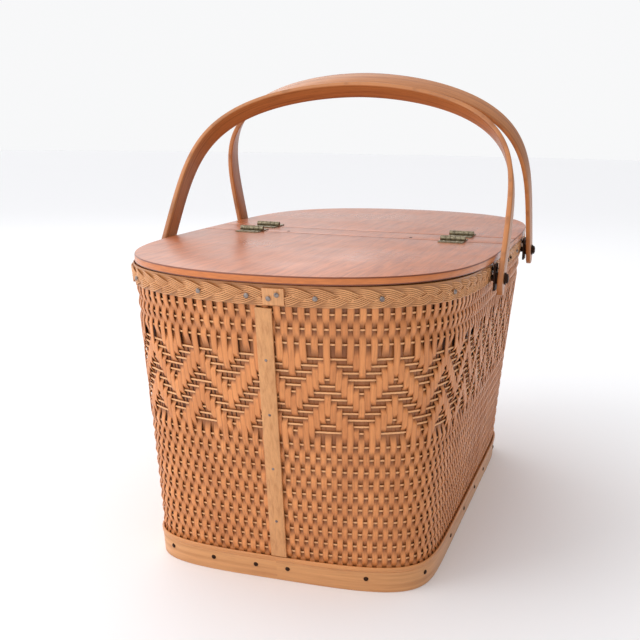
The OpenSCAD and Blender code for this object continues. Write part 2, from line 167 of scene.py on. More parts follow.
def add_piece(name, bm, materials, stands_for=(), body="basket", crease=40.0):
    """Makes the object of a finished bmesh and ties it to the frame."""
    mesh = bpy.data.meshes.new(name)
    bm.to_mesh(mesh)
    bm.free()
    for material in materials:
        mesh.materials.append(material)
    mesh.shade_smooth()
    mesh.set_sharp_from_angle(angle=radians(crease))
    piece = bpy.data.objects.new(name, mesh)
    bpy.context.scene.collection.objects.link(piece)
    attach(piece, body)
    if stands_for:
        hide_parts(*stands_for)
    return piece


def softened(node, width, segments=2, flat=0.5):
    """A copy of a CAD node with its flat faces joined and its edges rounded."""
    bm = bmesh.new()
    bm.from_mesh(frame["nodes"][node].data)
    bmesh.ops.remove_doubles(bm, verts=bm.verts, dist=1e-6)
    bmesh.ops.dissolve_limit(bm, angle_limit=radians(flat), verts=bm.verts, edges=bm.edges)
    sharp = [e for e in bm.edges if e.is_manifold and e.calc_face_angle(0) > radians(30)]
    bmesh.ops.bevel(
        bm, geom=sharp, offset=width, offset_type="OFFSET", affect="EDGES",
        segments=segments, profile=0.5, material=-1, clamp_overlap=True,
    )
    return bm


def tube(segments, cuts):
    """A closed tube along Y from 0 to 1, of radius 1 about that axis, cut across into even steps."""
    bm = bmesh.new()
    bmesh.ops.create_cone(
        bm, cap_ends=True, cap_tris=False, segments=segments, radius1=1, radius2=1, depth=1
    )
    lengthwise = [e for e in bm.edges if abs(e.verts[0].co.z - e.verts[1].co.z) > 0.5]
    bmesh.ops.subdivide_edges(bm, edges=lengthwise, cuts=cuts)
    bmesh.ops.translate(bm, verts=bm.verts, vec=(0, 0, 0.5))
    bmesh.ops.rotate(bm, verts=bm.verts, matrix=Matrix.Rotation(-pi / 2, 3, "X"))
    return bm


def repeated(bm, count, step):
    """Lays copies of a bmesh side by side along X."""
    first = bm.verts[:] + bm.edges[:] + bm.faces[:]
    for k in range(1, count):
        copy = bmesh.ops.duplicate(bm, geom=first)["geom"]
        verts = [item for item in copy if isinstance(item, bmesh.types.BMVert)]
        bmesh.ops.translate(bm, verts=verts, vec=(k * step, 0, 0))


def flat_bar(length, low, high, inside, outside, rounding, cuts, segments=3):
    """A bar in the flat pattern, along X from 0, with its four long edges rounded."""
    bm = bmesh.new()
    bmesh.ops.create_cube(bm, size=1)
    bmesh.ops.translate(bm, verts=bm.verts, vec=(0.5, 0.5, 0.5))
    bmesh.ops.scale(bm, verts=bm.verts, vec=(length, high - low, outside - inside))
    bmesh.ops.translate(bm, verts=bm.verts, vec=(0, low, inside))
    lengthwise = [e for e in bm.edges if abs(e.verts[0].co.x - e.verts[1].co.x) > length / 2]
    bmesh.ops.bevel(
        bm, geom=lengthwise, offset=rounding, offset_type="OFFSET", affect="EDGES",
        segments=segments, profile=0.5, material=-1,
    )
    lengthwise = [e for e in bm.edges if abs(e.verts[0].co.x - e.verts[1].co.x) > length / 2]
    bmesh.ops.subdivide_edges(bm, edges=lengthwise, cuts=cuts)
    return bm


def closed_ring(bm):
    """Bends a flat bar round the basket and joins its two ends."""
    ends = [f for f in bm.faces if abs(f.normal.x) > 0.9]
    bmesh.ops.delete(bm, geom=ends, context="FACES_ONLY")
    bend(bm, round_the_wall)
    bmesh.ops.remove_doubles(bm, verts=bm.verts, dist=1e-6)
    bmesh.ops.recalc_face_normals(bm, faces=bm.faces)


# Finishes ---------------------------------------------------------------------------------


class Finish:
    """A material with its principled shader, and short calls for the nodes that feed it."""

    def __init__(self, name, **values):
        self.material = bpy.data.materials.new(name)
        self.material.use_nodes = True
        self.tree = self.material.node_tree
        self.shader = self.tree.nodes["Principled BSDF"]
        for socket, value in values.items():
            self.shader.inputs[socket.replace("_", " ")].default_value = value

    def node(self, kind, inputs, **settings):
        made = self.tree.nodes.new(kind)
        for name, value in settings.items():
            setattr(made, name, value)
        for name, value in inputs.items():
            if isinstance(value, bpy.types.NodeSocket):
                self.tree.links.new(value, made.inputs[name])
            else:
                made.inputs[name].default_value = value
        return made

    def place(self, scale=(1, 1, 1)):
        """Object coordinates in metres, scaled."""
        source = self.node("ShaderNodeTexCoord", {}).outputs["Object"]
        return self.stretch(source, scale)

    def grain(self, scale=(1, 1, 1)):
        """The piece's own flat pattern in metres, scaled."""
        source = self.node("ShaderNodeUVMap", {}, uv_map="grain").outputs["UV"]
        return self.stretch(source, scale)

    def stretch(self, source, scale):
        return self.node("ShaderNodeMapping", {"Vector": source, "Scale": scale}).outputs["Vector"]

    def noise(self, place, scale=1.0, detail=4.0, roughness=0.55, distortion=0.0):
        inputs = {
            "Vector": place, "Scale": scale, "Detail": detail,
            "Roughness": roughness, "Distortion": distortion,
        }
        return self.node("ShaderNodeTexNoise", inputs).outputs["Fac"]

    def ramp(self, factor, *stops):
        """Colours at places from 0 to 1."""
        made = self.node("ShaderNodeValToRGB", {"Fac": factor})
        line = made.color_ramp.elements
        while len(line) < len(stops):
            line.new(0.5)
        for element, (place, colour) in zip(line, stops):
            element.position = place
            element.color = (*colour, 1)
        return made.outputs["Color"]

    def span(self, factor, low, high, to_low=0.0, to_high=1.0):
        """The factor's range from low to high, brought to another range and held there."""
        inputs = {
            "Value": factor, "From Min": low, "From Max": high, "To Min": to_low, "To Max": to_high,
        }
        return self.node("ShaderNodeMapRange", inputs, clamp=True).outputs["Result"]

    def sum(self, kind, a, b):
        made = self.node("ShaderNodeMath", {}, operation=kind)
        for socket, value in zip(made.inputs, (a, b)):
            if isinstance(value, bpy.types.NodeSocket):
                self.tree.links.new(value, socket)
            else:
                socket.default_value = value
        return made.outputs[0]

    def mix(self, kind, share, a, b):
        """Two colours blended; kind is MIX, MULTIPLY, OVERLAY and so on."""
        made = self.node("ShaderNodeMix", {}, data_type="RGBA", blend_type=kind)
        for socket, value in zip((made.inputs[0], made.inputs[6], made.inputs[7]), (share, a, b)):
            if isinstance(value, bpy.types.NodeSocket):
                self.tree.links.new(value, socket)
            elif isinstance(value, float):
                socket.default_value = value
            else:
                socket.default_value = (*value, 1)
        return made.outputs[2]

    def bump(self, height, depth, strength=1.0):
        inputs = {"Height": height, "Distance": depth, "Strength": strength}
        normal = self.node("ShaderNodeBump", inputs).outputs["Normal"]
        self.tree.links.new(normal, self.shader.inputs["Normal"])

    def feed(self, **sockets):
        for name, value in sockets.items():
            self.tree.links.new(value, self.shader.inputs[name.replace("_", " ")])


def shaded(colour, share):
    """A colour made darker, or lighter with a share above 1."""
    return tuple(c * share for c in colour)


def reed(name, settings, colour, dark, along_x, each=None, lies=False):
    """Shellacked splint or cord with fibres along it; splints of a given width each have a tone of their
    own, and pieces with a map of how they lie get painted shade at their sides and where they dip under
    others."""
    made = Finish(name, Specular_IOR_Level=0.45)
    stretch = (60, 900, 1) if along_x else (900, 60, 1)
    fibre = made.noise(made.grain(stretch), 1.0, 3.0, 0.6)
    patches = made.noise(made.place(), 38.0, 2.0, 0.5)
    tone = made.ramp(fibre, (0.25, shaded(colour, 0.72)), (0.5, colour), (0.8, shaded(colour, 1.18)))
    stain = made.span(patches, 0.3, 0.75, 0.0, 0.34)
    body = made.mix("MIX", stain, tone, dark)
    if each:
        flat = made.node("ShaderNodeSeparateXYZ", {"Vector": made.grain()}).outputs["X"]
        number = made.sum("FLOOR", made.sum("DIVIDE", flat, each), 0.0)
        chance = made.node("ShaderNodeTexWhiteNoise", {"W": number}, noise_dimensions="1D").outputs["Value"]
        body = made.mix("MIX", made.span(chance, 0.0, 1.0, 0.0, 0.3), body, dark)
    # painted shade: a piece darkens where it dips inwards under others, where shade falls
    if lies:
        lie = made.node("ShaderNodeUVMap", {}, uv_map="lie").outputs["UV"]
        lie = made.node("ShaderNodeSeparateXYZ", {"Vector": lie}).outputs
        recess_shade = made.span(lie["X"], 0.55, -0.7, 0.0, 0.62)
        # painted shade along the sides of each splint and cord
        rim = made.span(made.sum("ABSOLUTE", lie["Y"], 0.0), 0.45, 1.0, 0.0, 0.55)
        body = made.mix("MIX", made.sum("MAXIMUM", recess_shade, rim), body, shaded(dark, 0.4))
    made.feed(
        Base_Color=body,
        Roughness=made.span(patches, 0.2, 0.8, settings.gloss - 0.08, settings.gloss + 0.1),
    )
    made.bump(fibre, 0.12 * MM, 0.6)
    return made


def plank(name, colour, deep, gloss, stretch, vector, coat=0.0, figure=1.0):
    """Varnished wood: broad figure and fine dark pores along the grain."""
    made = Finish(name, Coat_Weight=coat, Coat_Roughness=0.16, Specular_IOR_Level=0.5)
    place = made.grain(stretch) if vector == "grain" else made.place(stretch)
    broad = made.noise(place, 1.0, 5.0, 0.6, 0.35)
    pores = made.noise(place, 6.5, 2.0, 0.7)
    body = made.ramp(broad, (0.3, deep), (0.5, colour), (0.72, shaded(colour, 1.15)))
    streak = made.span(pores, 0.52, 0.66, 0.0, 0.42 * figure)
    made.feed(
        Base_Color=made.mix("MIX", streak, body, shaded(deep, 0.55)),
        Roughness=made.span(broad, 0.3, 0.7, gloss + 0.06, gloss - 0.04),
    )
    made.bump(pores, 0.06 * MM, 0.4)
    return made


def metal(name, colour, stain, roughness, stained=0.5):
    """Old metal: bright where it is handled and dull where it has tarnished."""
    made = Finish(name, Metallic=1.0)
    patches = made.noise(made.place(), 420.0, 5.0, 0.6)
    fine = made.noise(made.place(), 2600.0, 2.0, 0.5)
    tarnish = made.span(patches, 0.62 - stained * 0.3, 0.72, 0.0, 0.9)
    made.feed(
        Base_Color=made.mix("MIX", tarnish, colour, stain),
        Roughness=made.span(patches, 0.3, 0.7, roughness, roughness + 0.25),
        Metallic=made.span(tarnish, 0.0, 0.9, 1.0, 0.55),
    )
    made.bump(fine, 0.04 * MM, 0.5)
    return made


# What a user would change ------------------------------------------------------------------


def length(label, default, note):
    return bpy.props.FloatProperty(
        name=label, description=note, default=default * MM, min=0, unit="LENGTH", precision=5
    )


def colour(label, default, note):
    return bpy.props.FloatVectorProperty(
        name=label, description=note, default=tint(*default), size=3, min=0, max=1, subtype="COLOR"
    )


def roughness(default, note):
    return bpy.props.FloatProperty(
        name="Roughness", description=note, default=default, min=0, max=1, subtype="FACTOR"
    )


class WeaveSettings(bpy.types.PropertyGroup):
    stakes: bpy.props.IntProperty(
        name="Stakes", description="Upright splints round the basket, a multiple of 12",
        default=324, min=120, max=480, step=12,
    )
    stake_share: bpy.props.FloatProperty(
        name="Stake width", description="Width of a splint as a share of the space between splints",
        default=1.36, min=0.7, max=1.6,
    )
    stake_thickness: length("Stake thickness", 1.1, "Thickness of a splint at its middle")
    cord: length("Cord", 1.5, "Diameter of the weft cords")
    stake_swing: length("Splint swing", 1.35, "How far a splint swings in and out past the cords")
    cord_swing: length("Cord swing", 0.2, "How far a cord swings the other way")
    plain_pitch: length("Plain pitch", 10.4, "Height from cord to cord in the plain lower part")
    twill_pitch: length("Twill pitch", 5.2, "Height from cord to cord in the zigzag")
    top_pitch: length("Top pitch", 11.0, "Height from cord to cord above the zigzag")
    twill_top: length("Zigzag top", 189.7, "Height of the zigzag's highest cord")
    splint_tint: colour("Splint", (232, 152, 90), "Colour of the splints")
    # the splints' real stain colour, also darkened for the painted shade in the weave's recesses and in the
    # dark sheet inside it
    splint_stain_and_shade: colour("Splint stain", (160, 86, 38), "Colour where the splints have darkened")
    cord_tint: colour("Cord tint", (236, 178, 124), "Colour of the weft cords")
    gloss: roughness(0.42, "Roughness of the shellac on the weave")


class TrimSettings(bpy.types.PropertyGroup):
    plait_turns: bpy.props.IntProperty(
        name="Plait turns", description="Full turns of each strand round the basket",
        default=29, min=8, max=60,
    )
    plait_cords: bpy.props.IntProperty(
        name="Cords a strand", description="Cords side by side in one strand of the plait",
        default=5, min=1, max=7,
    )
    plait_cord: length("Plait cord", 1.3, "Diameter of each cord in the plait")
    plait_swing: length("Plait swing", 3.8, "How far a strand swings up and down")
    plait_depth: length("Plait depth", 0.9, "How far a strand swings in and out")
    strip_tint: colour("Strip", (208, 148, 94), "Colour of the foot band and the battens")
    strip_stain: colour("Strip figure", (190, 128, 76), "Darker figure of the foot band and the battens")
    bead_tint: colour("Bead", (206, 140, 84), "Colour of the bead above the foot band")
    hoop_tint: colour("Hoops", (178, 118, 66), "Colour of the rim hoops")
    plait_tint: colour("Plait", (228, 166, 112), "Colour of the plait")


class LidSettings(bpy.types.PropertyGroup):
    edge_round: length("Edge round", 0.7, "Rounding of the lid's edges")
    veneer_tint: colour("Veneer", (186, 104, 60), "Colour of the lid's faces")
    veneer_deep: colour("Veneer figure", (164, 84, 46), "Darker figure of the lid's faces")
    edge_tint: colour("Edge", (214, 122, 54), "Colour of the lid's cut edge")
    # painted shade: the dark bands where the lid's cut edge rounds into its top and its underside
    edge_shade_tint: colour("Edge lines", (120, 56, 24), "Colour of the glue lines in the lid's edge")
    gloss: roughness(0.3, "Roughness of the lid's varnish")


class HandleSettings(bpy.types.PropertyGroup):
    width: length("Width", 19.0, "Width of the bent strips")
    edge_round: length("Edge round", 1.0, "Rounding of the strips' edges")
    end_drop: length("End", 5.0, "How far the round of a leg's end lies below its pivot")
    bow_tint: colour("Bows", (184, 116, 62), "Colour of the bentwood bows")
    bow_deep: colour("Bow figure", (140, 78, 36), "Darker figure of the bows")
    gloss: roughness(0.42, "Roughness of the bows' varnish")


class MetalSettings(bpy.types.PropertyGroup):
    brass_tint: colour("Brass", (150, 140, 116), "Colour of the hinges where they are bright")
    brass_stain: colour("Tarnish", (84, 76, 60), "Colour of the hinges where they have tarnished")
    steel_tint: colour("Steel", (150, 138, 132), "Colour of bright tacks")
    rust_tint: colour("Rust", (62, 42, 32), "Colour of rusty steel")


class StageSettings(bpy.types.PropertyGroup):
    floor_tint: colour("Floor", (248, 248, 250), "Colour of the floor")
    sky: bpy.props.FloatProperty(
        name="Surroundings", description="Brightness of the white surroundings", default=0.9, min=0, max=4
    )
    backdrop: bpy.props.FloatProperty(
        name="Backdrop", description="Brightness of the surroundings where the camera sees them",
        default=1.05, min=0, max=4,
    )
    key_power: bpy.props.FloatProperty(
        name="Key light", description="Power of the large light on the left",
        default=14, min=0, max=500, unit="POWER",
    )
    camera_place: bpy.props.FloatVectorProperty(
        name="Camera", description="Place of the camera", size=3, default=(0.25152, -0.90667, 0.35579),
        subtype="TRANSLATION", unit="LENGTH",
    )
    camera_turn: bpy.props.FloatProperty(
        name="Turn", description="Direction of view from +Y towards -X", default=0.3046, subtype="ANGLE"
    )
    camera_dip: bpy.props.FloatProperty(
        name="Dip", description="How far the view points down", default=0.1971, subtype="ANGLE"
    )
    camera_roll: bpy.props.FloatProperty(
        name="Roll", description="Roll of the camera", default=0.0167, subtype="ANGLE"
    )
    camera_lens: bpy.props.FloatProperty(
        name="Lens", description="Focal length on a 36 mm frame",
        default=57.58, min=10, max=300, unit="CAMERA",
    )


class BasketSettings(bpy.types.PropertyGroup):
    weave: bpy.props.PointerProperty(type=WeaveSettings)
    trim: bpy.props.PointerProperty(type=TrimSettings)
    lid: bpy.props.PointerProperty(type=LidSettings)
    handles: bpy.props.PointerProperty(type=HandleSettings)
    metal: bpy.props.PointerProperty(type=MetalSettings)
    stage: bpy.props.PointerProperty(type=StageSettings)


# Woven wall ---------------------------------------------------------------------------------

WALL_MIDDLE = -1.6 * MM  # the weave's middle surface lies inside the wall's outer face
TWILL_ROWS = 12
TWILL_REPEAT = 12  # splints in one zigzag
TWILL_FLOAT = 3  # cords that a splint passes on one side at a time
TWILL_GAP = 0.8 * MM  # extra height between the zigzag and the first plain cord below it
LOWEST_CORD = 8 * MM
STEPS_A_ROW = 4
FIRST_STAKE = -0.1  # place of the first splint's middle, in spaces from the seam
RING_CUTS = 479  # cuts of every ring that goes round the basket
# depth of the dark sheet of painted shade inside the weave
SHADE_OFFSETS = (-2.9 * MM, -2.6 * MM)


def weft_rows(weave):
    """Heights of the weft cords from the top down, and each splint's side of each cord: 1 is outside it."""
    stakes = np.arange(weave.stakes)
    heights, sides = [], []

    def add_row(height, outside):
        heights.append(height)
        sides.append(np.where(outside, 1, -1))

    def plain(number):
        return (stakes + number) % 2 == 0

    above = int((RIM_HEIGHT - weave.twill_top) / weave.top_pitch)
    for k in range(above - 1):
        add_row(weave.twill_top + (above - 1 - k) * weave.top_pitch, plain(k))
    for k in range(TWILL_ROWS):
        fold = np.abs(stakes % TWILL_REPEAT - TWILL_REPEAT // 2)
        add_row(weave.twill_top - k * weave.twill_pitch, (k + fold) % (2 * TWILL_FLOAT) < TWILL_FLOAT)
    height = heights[-1] - weave.plain_pitch - TWILL_GAP
    number = 0
    while height > LOWEST_CORD:
        add_row(height, plain(number))
        height -= weave.plain_pitch
        number += 1
    return np.array(heights), np.array(sides)


class BASKET_OT_splints(bpy.types.Operator):
    """Weave the upright splints in and out of the cords"""

    bl_idname = "basket.splints"
    bl_label = "Splints"

    def execute(self, context):
        weave = context.scene.basket.weave
        pitch = GIRTH / weave.stakes
        finish = reed(
            "splint_shellac", weave, weave.splint_tint, weave.splint_stain_and_shade,
            along_x=False, each=pitch, lies=True,
        )
        heights, sides = weft_rows(weave)
        knots = np.concatenate([[2.5 * MM], heights[::-1], [RIM_HEIGHT - 0.6 * MM]])
        swings = np.concatenate([0 * sides[:1], sides[::-1], 0 * sides[:1]])
        quarter = weave.stakes // 4
        rows = len(knots) - 1
        for number, name in enumerate(("front_right", "rear_right", "rear_left", "front_left")):
            bm = tube(6, rows * STEPS_A_ROW - 1)
            repeated(bm, quarter, 4)
            places = np.array([v.co[:] for v in bm.verts])
            stake = np.round(places[:, 0] / 4).astype(int)
            across = places[:, 0] - 4 * stake
            stake += number * quarter
            step = places[:, 1] * rows
            row = np.minimum(step.astype(int), rows - 1)
            share = step - row
            height = knots[row] + share * (knots[row + 1] - knots[row])
            ease = (share + share * share * (3 - 2 * share)) / 2
            swing = swings[row, stake] * (1 - ease) + swings[row + 1, stake] * ease
            wander = 0.04 * np.sin(stake * 12.9 + height * 260)
            flat = np.stack([
                (stake + FIRST_STAKE + wander + across / 2 * weave.stake_share) * pitch,
                height,
                WALL_MIDDLE + swing * weave.stake_swing + places[:, 2] * weave.stake_thickness / 2,
            ], 1)
            pattern = np.stack([(stake + 0.5 + 0.48 * across) * pitch, height], 1)
            vertex_map(bm, "grain", pattern)
            # the lie map drives the painted shade where a splint dips under the cords and along its sides
            vertex_map(bm, "lie", np.stack([swing, across], 1))
            for vertex, place in zip(bm.verts, round_the_wall(flat)):
                vertex.co = place
            bmesh.ops.recalc_face_normals(bm, faces=bm.faces)
            add_piece(f"splints_{name}", bm, [finish.material], ["woven_wall"], crease=75)
        return {"FINISHED"}


class BASKET_OT_cords(bpy.types.Operator):
    """Run the weft cords round the wall"""

    bl_idname = "basket.cords"
    bl_label = "Weft cords"

    def execute(self, context):
        weave = context.scene.basket.weave
        finish = reed("cord_shellac", weave, weave.cord_tint, weave.splint_tint, along_x=True)
        heights, sides = weft_rows(weave)
        half = len(heights) // 2
        for name, rows in (("upper", range(half)), ("lower", range(half, len(heights)))):
            bm = bmesh.new()
            for row in rows:
                self.add_cord(bm, weave, heights[row], sides[row])
            add_piece(f"weft_cords_{name}", bm, [finish.material], ["woven_wall"], crease=80)
        self.add_painted_shade_sheet(weave)
        return {"FINISHED"}

    @staticmethod
    def add_painted_shade_sheet(weave):
        """A dark sheet of painted shade inside the weave, which closes the chinks between the splints; the
        real wall has no such ply.
        """
        # painted shade: dark browns made from the splints' stain colour, seen through the chinks
        shade = Finish("weave_shade", Roughness=0.8)
        spots = shade.noise(shade.place(), 160.0)
        dark = shaded(weave.splint_stain_and_shade, 0.14)
        light = shaded(weave.splint_stain_and_shade, 0.4)
        shade.feed(Base_Color=shade.ramp(spots, (0.3, dark), (0.7, light)))
        bm = flat_bar(GIRTH, 3 * MM, RIM_HEIGHT - 2 * MM, *SHADE_OFFSETS, 0.1 * MM, RING_CUTS)
        grain_map(bm, lambda place: (place.x, place.y))
        closed_ring(bm)
        add_piece("painted_shade_sheet", bm, [shade.material], ["woven_wall"])

    def add_cord(self, target, weave, height, sides):
        bm = tube(6, 2 * weave.stakes - 1)
        swing = np.zeros(2 * weave.stakes + 1)
        swing[1::2] = -weave.cord_swing * sides
        radius = weave.cord / 2

        def lay(places):
            step = np.round(places[:, 1] * 2 * weave.stakes).astype(int)
            return np.stack([
                places[:, 1] * GIRTH + (FIRST_STAKE - 0.5) * GIRTH / weave.stakes,
                height + places[:, 0] * radius,
                WALL_MIDDLE + swing[step] + places[:, 2] * radius,
            ], 1)

        bend(bm, lay)
        grain_map(bm, lambda place: (place.x, place.z))
        closed_ring(bm)
        loose = bpy.data.meshes.new("cord")
        bm.to_mesh(loose)
        bm.free()
        target.from_mesh(loose)
        bpy.data.meshes.remove(loose)


# Foot and rim -------------------------------------------------------------------------------

BAND_OFFSETS = (0.1 * MM, 1.5 * MM)
BEAD_OFFSETS = (0.1 * MM, 2.1 * MM)
OUTER_HOOP_OFFSETS = (0.1 * MM, 0.9 * MM)
INNER_HOOP_OFFSETS = (-6.9 * MM, -3.3 * MM)
PLAIT_MIDDLE = 1.2 * MM
PLAIT_OUTSIDE = 2.9 * MM


class BASKET_OT_foot(bpy.types.Operator):
    """Bend the flat foot band and the bead above it round the basket's foot"""

    bl_idname = "basket.foot"
    bl_label = "Foot band"

    def execute(self, context):
        trim = context.scene.basket.trim
        band = plank(
            "foot_strip", trim.strip_tint, trim.strip_stain, 0.42, (9, 260, 1), "grain",
            coat=0.15, figure=0.5,
        )
        bm = flat_bar(GIRTH, 0, BAND_TOP, *BAND_OFFSETS, 0.5 * MM, RING_CUTS)
        grain_map(bm, lambda place: (place.x, place.y))
        closed_ring(bm)
        add_piece("bent_foot_band", bm, [band.material], ["foot_band"])
        bead = plank(
            "bead_strip", trim.bead_tint, trim.strip_stain, 0.38, (9, 400, 1), "grain",
            coat=0.2, figure=0.5,
        )
        bm = flat_bar(GIRTH, BAND_TOP, BEAD_TOP, *BEAD_OFFSETS, 0.9 * MM, RING_CUTS, segments=4)
        grain_map(bm, lambda place: (place.x, place.y))
        closed_ring(bm)
        add_piece("bent_foot_bead", bm, [bead.material], ["foot_bead"])
        return {"FINISHED"}


class BASKET_OT_hoops(bpy.types.Operator):
    """Bend the two rim hoops that hold the splints' upper ends"""

    bl_idname = "basket.hoops"
    bl_label = "Rim hoops"

    def execute(self, context):
        trim = context.scene.basket.trim
        hoop = plank("hoop_strip", trim.hoop_tint, trim.strip_stain, 0.4, (9, 300, 1), "grain", coat=0.15)
        for name, offsets in (("outer", OUTER_HOOP_OFFSETS), ("inner", INNER_HOOP_OFFSETS)):
            bm = flat_bar(GIRTH, HOOP_FOOT, RIM_HEIGHT, *offsets, 0.3 * MM, RING_CUTS)
            grain_map(bm, lambda place: (place.x, place.y))
            closed_ring(bm)
            add_piece(f"bent_{name}_hoop", bm, [hoop.material], [f"{name}_rim_hoop"])
        return {"FINISHED"}


def tab_span():
    """The plait's folded end, as a stretch along the girth."""
    low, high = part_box("braid_end_tab")
    middle = (BRAID_FOOT + BRAID_TOP) / 2
    return along_at(low.x, middle), along_at(high.x, middle)


class BASKET_OT_plait(bpy.types.Operator):
    """Plait three flat strands of cord round the rim, with a folded end over the seam"""

    bl_idname = "basket.plait"
    bl_label = "Plait"

    steps_a_turn = 24

    def execute(self, context):
        trim = context.scene.basket.trim
        weave = context.scene.basket.weave
        finish = reed("plait_shellac", weave, trim.plait_tint, weave.splint_stain_and_shade, True, lies=True)
        left, right = tab_span()
        start, length_round = right + 0.5 * MM, GIRTH - (right - left) - 0.5 * MM
        middle = (BRAID_FOOT + BRAID_TOP) / 2
        turn = GIRTH / trim.plait_turns
        spacing = 1.02 * trim.plait_cord
        bm = tube(6, trim.plait_turns * self.steps_a_turn - 1)
        cords = 3 * trim.plait_cords
        repeated(bm, cords, 4)

        lies = []

        def lay(places):
            cord = np.round(places[:, 0] / 4).astype(int)
            side = places[:, 0] - 4 * cord
            strand, beside = np.divmod(cord, trim.plait_cords)
            offset = (beside - (trim.plait_cords - 1) / 2) * spacing + side * trim.plait_cord / 2
            along = start + places[:, 1] * length_round
            angle = 2 * pi * along / turn + 2 * pi * strand / 3
            rise = trim.plait_swing * np.sin(angle)
            slope = trim.plait_swing * np.cos(angle) * 2 * pi / turn
            lean = np.hypot(slope, 1)
            depth = -trim.plait_depth * np.sin(2 * angle)
            # the lie map drives the painted shade where a strand dips inwards and along each cord's sides
            lies.append(np.stack([0.5 - np.sin(2 * angle), side], 1))
            return np.stack([
                along - offset * slope / lean,
                middle + rise + offset / lean,
                PLAIT_MIDDLE + depth + places[:, 2] * trim.plait_cord / 2,
            ], 1)

        grain_map(bm, lambda place: (place.y * GIRTH, place.x * trim.plait_cord))
        bend(bm, lay)
        vertex_map(bm, "lie", lies[0])
        bend(bm, round_the_wall)
        bmesh.ops.recalc_face_normals(bm, faces=bm.faces)
        add_piece("rim_plait", bm, [finish.material], ["braid_trim"], crease=80)
        self.add_tab(reed("tab_shellac", weave, trim.plait_tint, weave.splint_stain_and_shade, along_x=False))
        return {"FINISHED"}

    def add_tab(self, finish):
        left, right = tab_span()
        bm = flat_bar(
            right - left, BRAID_FOOT + 0.3 * MM, BRAID_TOP - 0.3 * MM, 1.2 * MM, PLAIT_OUTSIDE, 0.9 * MM, 15
        )
        bmesh.ops.translate(bm, verts=bm.verts, vec=(left, 0, 0))
        grain_map(bm, lambda place: (place.x, place.y))
        bend(bm, round_the_wall)
        add_piece("folded_tab", bm, [finish.material], ["braid_end_tab"])


class BASKET_OT_battens(bpy.types.Operator):
    """Shape the straight battens that close the wall's seam, the brace under the bar and the base"""

    bl_idname = "basket.battens"
    bl_label = "Battens and boards"

    def execute(self, context):
        trim = context.scene.basket.trim
        strip = plank(
            "batten_strip", trim.strip_tint, trim.strip_stain, 0.4, (420, 420, 14), "place",
            coat=0.1, figure=0.15,
        )
        for node in ("seam_batten", "inner_seam_batten"):
            add_piece(f"{node}_strip", softened(node, 0.4 * MM), [strip.material], [node])
        brace = plank("brace_wood", trim.strip_tint, trim.strip_stain, 0.5, (14, 420, 420), "place")
        bar = softened("cross_brace", 1.2 * MM, 3)
        add_piece("brace_bar", bar, [brace.material], ["cross_brace"])
        base = plank("base_ply", trim.strip_tint, trim.strip_stain, 0.6, (160, 9, 160), "place")
        add_piece("base_panel", softened("base_board", 0.6 * MM), [base.material], ["base_board"])
        return {"FINISHED"}


# Lid ---------------------------------------------------------------------------------------

LEVEL = 0.75  # upright share of a normal above which a face belongs to a board's top or underside


class BASKET_OT_lid(bpy.types.Operator):
    """Round the edges of the lid's two flaps and its bar, and varnish them"""

    bl_idname = "basket.lid"
    bl_label = "Lid"

    def execute(self, context):
        lid = context.scene.basket.lid
        face = self.veneer(lid)
        edge = self.cut_edge(lid)
        boards = (
            ("front_flap_board", "front_flap"),
            ("centre_bar", "basket"),
            ("rear_flap_board", "rear_flap"),
        )
        for node, body in boards:
            bm = softened(node, lid.edge_round, 3, flat=0.2)
            for part in bm.faces:
                part.material_index = 0 if abs(part.normal.z) > LEVEL else 1
            add_piece(f"{node}_ply", bm, [face, edge], [node], body=body, crease=50)
        return {"FINISHED"}

    @staticmethod
    def veneer(lid):
        made = Finish("lid_veneer", Coat_Weight=0.2, Coat_Roughness=0.25, Specular_IOR_Level=0.45)
        place = made.place((200, 16, 200))
        broad = made.noise(place, 1.0, 5.0, 0.62, 0.8)
        fine = made.noise(made.place((900, 28, 900)), 1.0, 3.0, 0.6)
        haze = made.noise(made.place(), 14.0, 3.0, 0.5)
        body = made.ramp(
            broad, (0.32, lid.veneer_deep), (0.5, lid.veneer_tint), (0.7, shaded(lid.veneer_tint, 1.25))
        )
        streak = made.span(fine, 0.5, 0.72, 0.0, 0.5)
        made.feed(
            Base_Color=made.mix("MIX", streak, body, shaded(lid.veneer_deep, 0.6)),
            Roughness=made.span(haze, 0.3, 0.7, lid.gloss - 0.06, lid.gloss + 0.1),
        )
        made.bump(fine, 0.05 * MM, 0.35)
        return made.material

    @staticmethod
    def cut_edge(lid):
        made = Finish("lid_cut_edge", Coat_Weight=0.4, Coat_Roughness=0.25)
        height = made.node("ShaderNodeSeparateXYZ", {"Vector": made.place()}).outputs["Z"]
        low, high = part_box("centre_bar")[0].z, LID_TOP
        share = made.span(height, low, high)
        core, line = tuple(lid.edge_tint), tuple(lid.edge_shade_tint)
        # painted shade: dark bands at the edge's rounded top and bottom, with the cut edge's own colour
        # between
        layers = made.ramp(
            share, (0.0, line), (0.13, line), (0.2, core), (0.78, core), (0.86, line), (1.0, line)
        )
        fibre = made.noise(made.place((120, 120, 900)), 1.0, 3.0, 0.6)
        shade = made.span(fibre, 0.3, 0.7, 0.0, 0.35)
        made.feed(
            Base_Color=made.mix("MIX", shade, layers, line),
            Roughness=made.span(fibre, 0.3, 0.7, 0.3, 0.45),
        )
        made.bump(fibre, 0.08 * MM, 0.5)
        return made.material


# Handles -----------------------------------------------------------------------------------

BOW_SQUARENESS = (1.85, 4.9)


def joint(name):
    return next(row for row in frame["joints"] if row["name"] == name)


